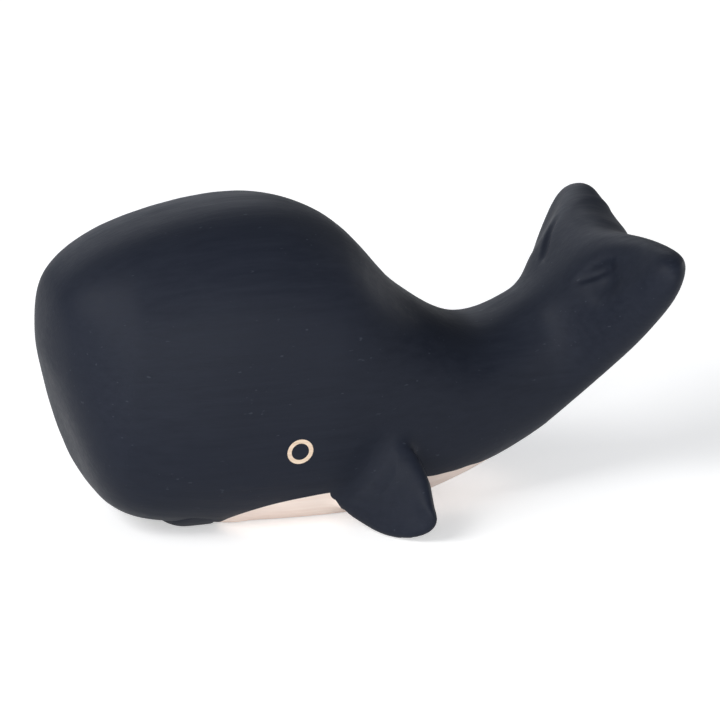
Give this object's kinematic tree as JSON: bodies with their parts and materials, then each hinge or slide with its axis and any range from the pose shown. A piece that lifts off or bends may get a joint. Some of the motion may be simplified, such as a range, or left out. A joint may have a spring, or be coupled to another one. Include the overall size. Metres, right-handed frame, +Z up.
{
  "type": "wooden whale figurine",
  "caption": "Carved wooden whale figurine that stands on its flat belly, with a blunt head, raised two-lobed tail, side flippers, inlaid ring eyes and a pale belly slab.",
  "frame": {"origin": "on the table below the middle of the whale's length and width, in the plane of the flat belly", "axes": "+X from head to tail, +Y to the whale's right side, +Z up"},
  "size_m": [0.1134, 0.0606, 0.0575],
  "materials": {
    "navy_paint": "matte dark blue paint over carved wood",
    "belly_paint": "matte pale cream paint over wood",
    "pale_wood": "sanded bare pale wood",
    "plain_wood": "bare dowel, hidden in the glue joint"
  },
  "bodies": {
    "root": {"body": "navy_paint", "lower_jaw": "navy_paint", "belly_panel": "belly_paint", "tail_fluke": "navy_paint", "tail_dowel": "plain_wood", "left_flipper": "navy_paint", "right_flipper": "navy_paint", "left_eye_ring": "pale_wood", "right_eye_ring": "pale_wood", "left_eye_pupil": "navy_paint", "right_eye_pupil": "navy_paint"}
  },
  "joints": []
}
